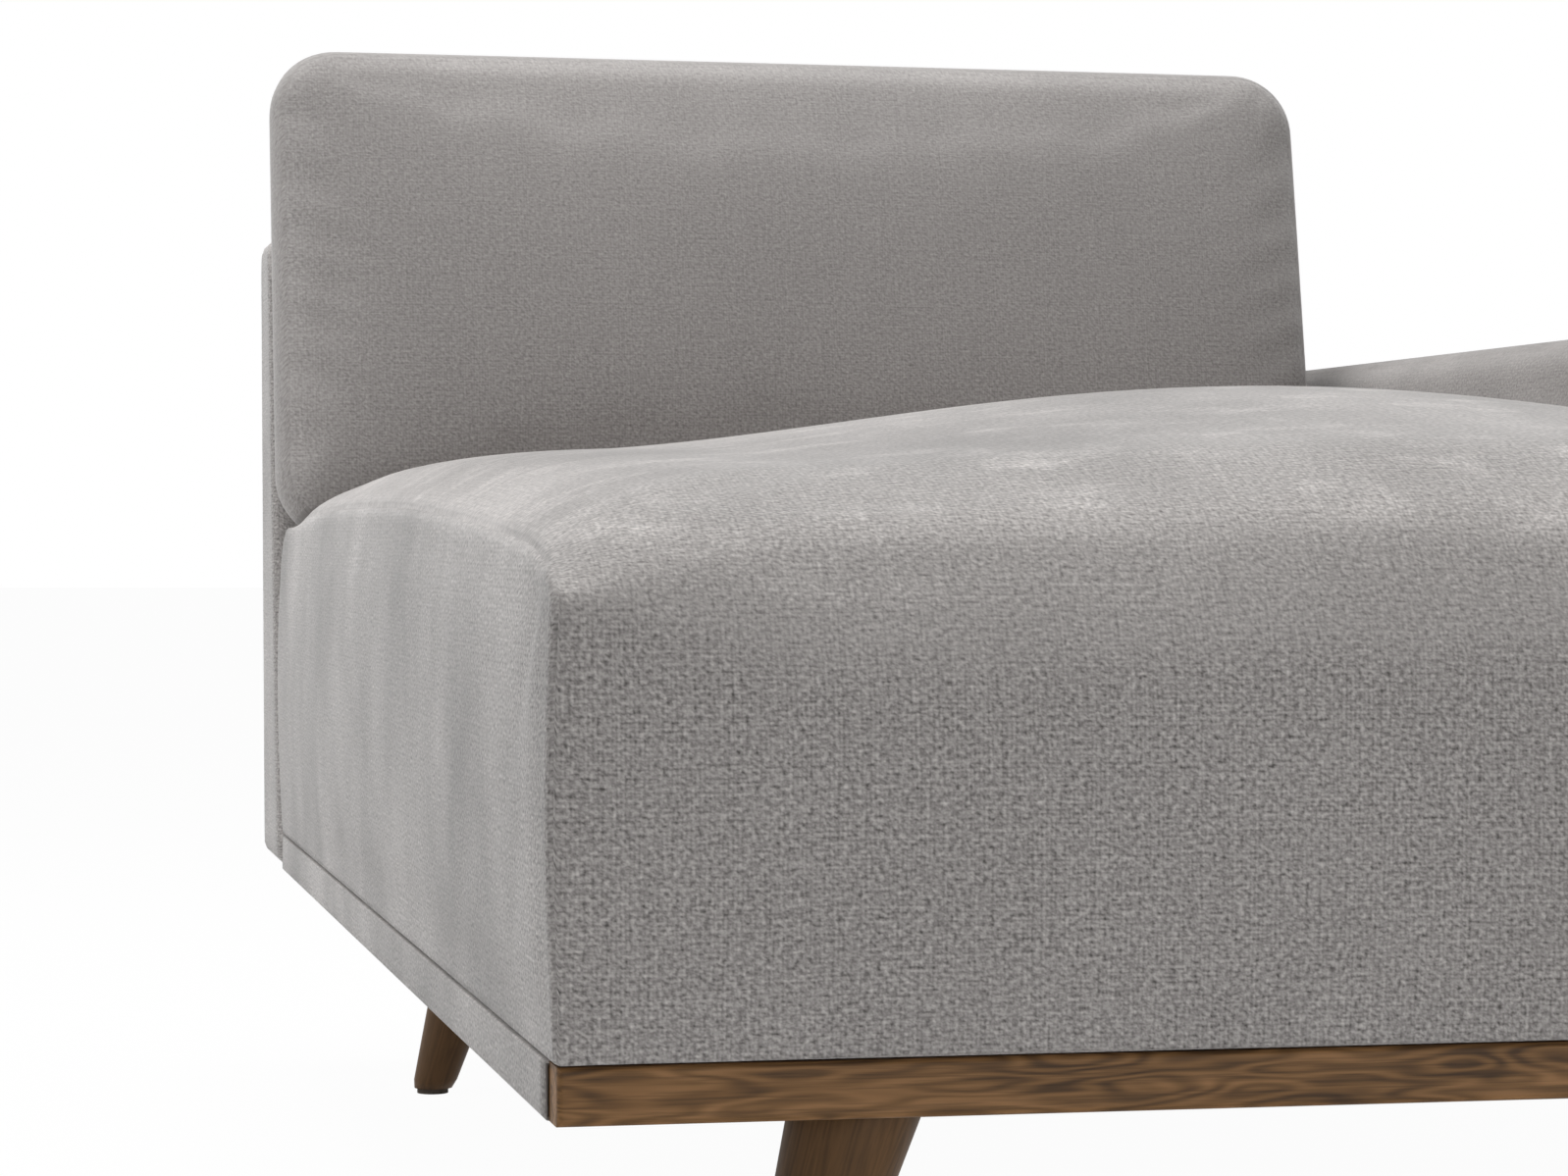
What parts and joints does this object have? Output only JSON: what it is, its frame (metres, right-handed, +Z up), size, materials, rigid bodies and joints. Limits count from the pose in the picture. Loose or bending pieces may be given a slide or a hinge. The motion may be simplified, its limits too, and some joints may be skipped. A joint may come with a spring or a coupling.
{
  "type": "sectional chaise",
  "caption": "Upholstered chaise end of a sectional sofa: long padded seat, leaning backrest with a loose cushion, one low arm, wood trim bar and splayed turned legs.",
  "frame": {"origin": "on the floor, below the middle of the object", "axes": "+Z up; -Y towards the foot end of the chaise; +X towards the arm"},
  "size_m": [0.984, 1.6045, 0.8167],
  "materials": {
    "upholstery": "plain weave, matte",
    "stained_wood": "walnut stain, satin",
    "frame_wood": "sawn and planed",
    "hardboard": "pressed board",
    "bright_steel": "zinc plated",
    "black_steel": "powder coat",
    "webbing": "woven elastic",
    "lining": "spun-bonded cloth",
    "felt": "pressed felt",
    "filling": "foam and fibre"
  },
  "bodies": {
    "frame": {"arm_bolts": "bright_steel", "arm_bottom_rail": "frame_wood", "arm_front_post": "frame_wood", "arm_inner_panel": "hardboard", "arm_outer_panel": "hardboard", "arm_rear_post": "frame_wood", "arm_top_rail": "frame_wood", "arm_upholstery": "upholstery", "back_bolts": "bright_steel", "back_bottom_rail": "frame_wood", "back_centre_post": "frame_wood", "back_left_post": "frame_wood", "back_panel": "hardboard", "back_right_post": "frame_wood", "back_top_rail": "frame_wood", "back_upholstery": "upholstery", "back_webbing": "webbing", "bearer_tubes": "black_steel", "deck_cloth": "lining", "dust_cover": "lining", "front_frame_rail": "frame_wood", "front_trim": "stained_wood", "joining_inserts": "bright_steel", "left_rail_cover": "upholstery", "left_side_rail": "frame_wood", "leg_bolts": "bright_steel", "leg_glides": "felt", "leg_plates": "black_steel", "legs_left": "stained_wood", "legs_right": "stained_wood", "rear_frame_rail": "frame_wood", "right_rail_cover": "upholstery", "right_side_rail": "frame_wood", "webbing_cross": "webbing", "webbing_long": "webbing"},
    "seat": {"seat_cushion": "upholstery", "seat_cushion_core": "filling"},
    "back_rest_cushion": {"back_cushion": "upholstery", "back_cushion_core": "filling"}
  },
  "joints": [
    {"name": "seat_cushion_lift", "type": "slide", "parent": "frame", "child": "seat", "axis": [0, 0, 1], "range_m": [0, 0.5]},
    {"name": "back_cushion_lift", "type": "slide", "parent": "seat", "child": "back_rest_cushion", "axis": [0, 0.1972, 0.9804], "range_m": [0, 0.32]}
  ]
}
